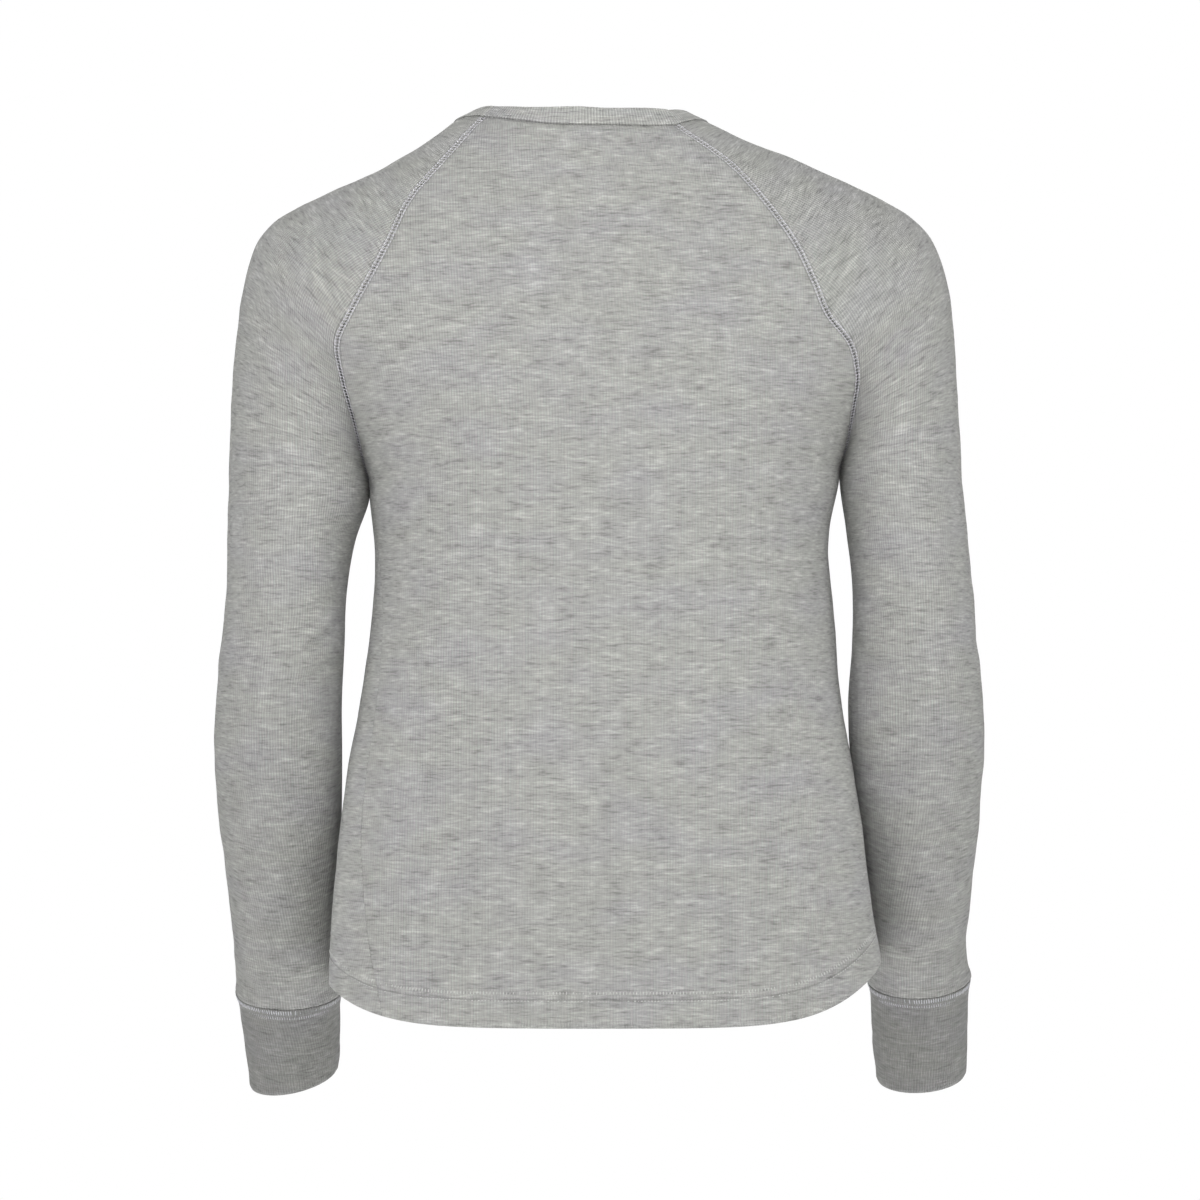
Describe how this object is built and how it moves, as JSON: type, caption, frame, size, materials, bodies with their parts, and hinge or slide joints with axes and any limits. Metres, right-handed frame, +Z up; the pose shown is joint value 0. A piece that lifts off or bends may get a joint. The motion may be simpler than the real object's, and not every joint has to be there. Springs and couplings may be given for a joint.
{
  "type": "thermal top",
  "caption": "Long-sleeved thermal top in grey marl rib knit, with raglan sleeves, a round neckband, cuffs and a curved hem, filled out with no wearer.",
  "frame": {"origin": "in the neck opening, level with the points where the shoulders meet the neckband, where a wearer's shoulders carry the top", "axes": "+Z up towards the neck, front facing -Y, wearer's left at +X"},
  "size_m": [0.501, 0.2228, 0.6447],
  "materials": {
    "knit": "matte grey marl rib knit",
    "rib_trim": "matte grey marl rib knit, folded double"
  },
  "bodies": {
    "root": {"back_panel": "knit", "front_panel": "knit", "sleeve_left": "knit", "sleeve_right": "knit", "cuff_left": "rib_trim", "cuff_right": "rib_trim", "neckband": "rib_trim"}
  },
  "joints": []
}
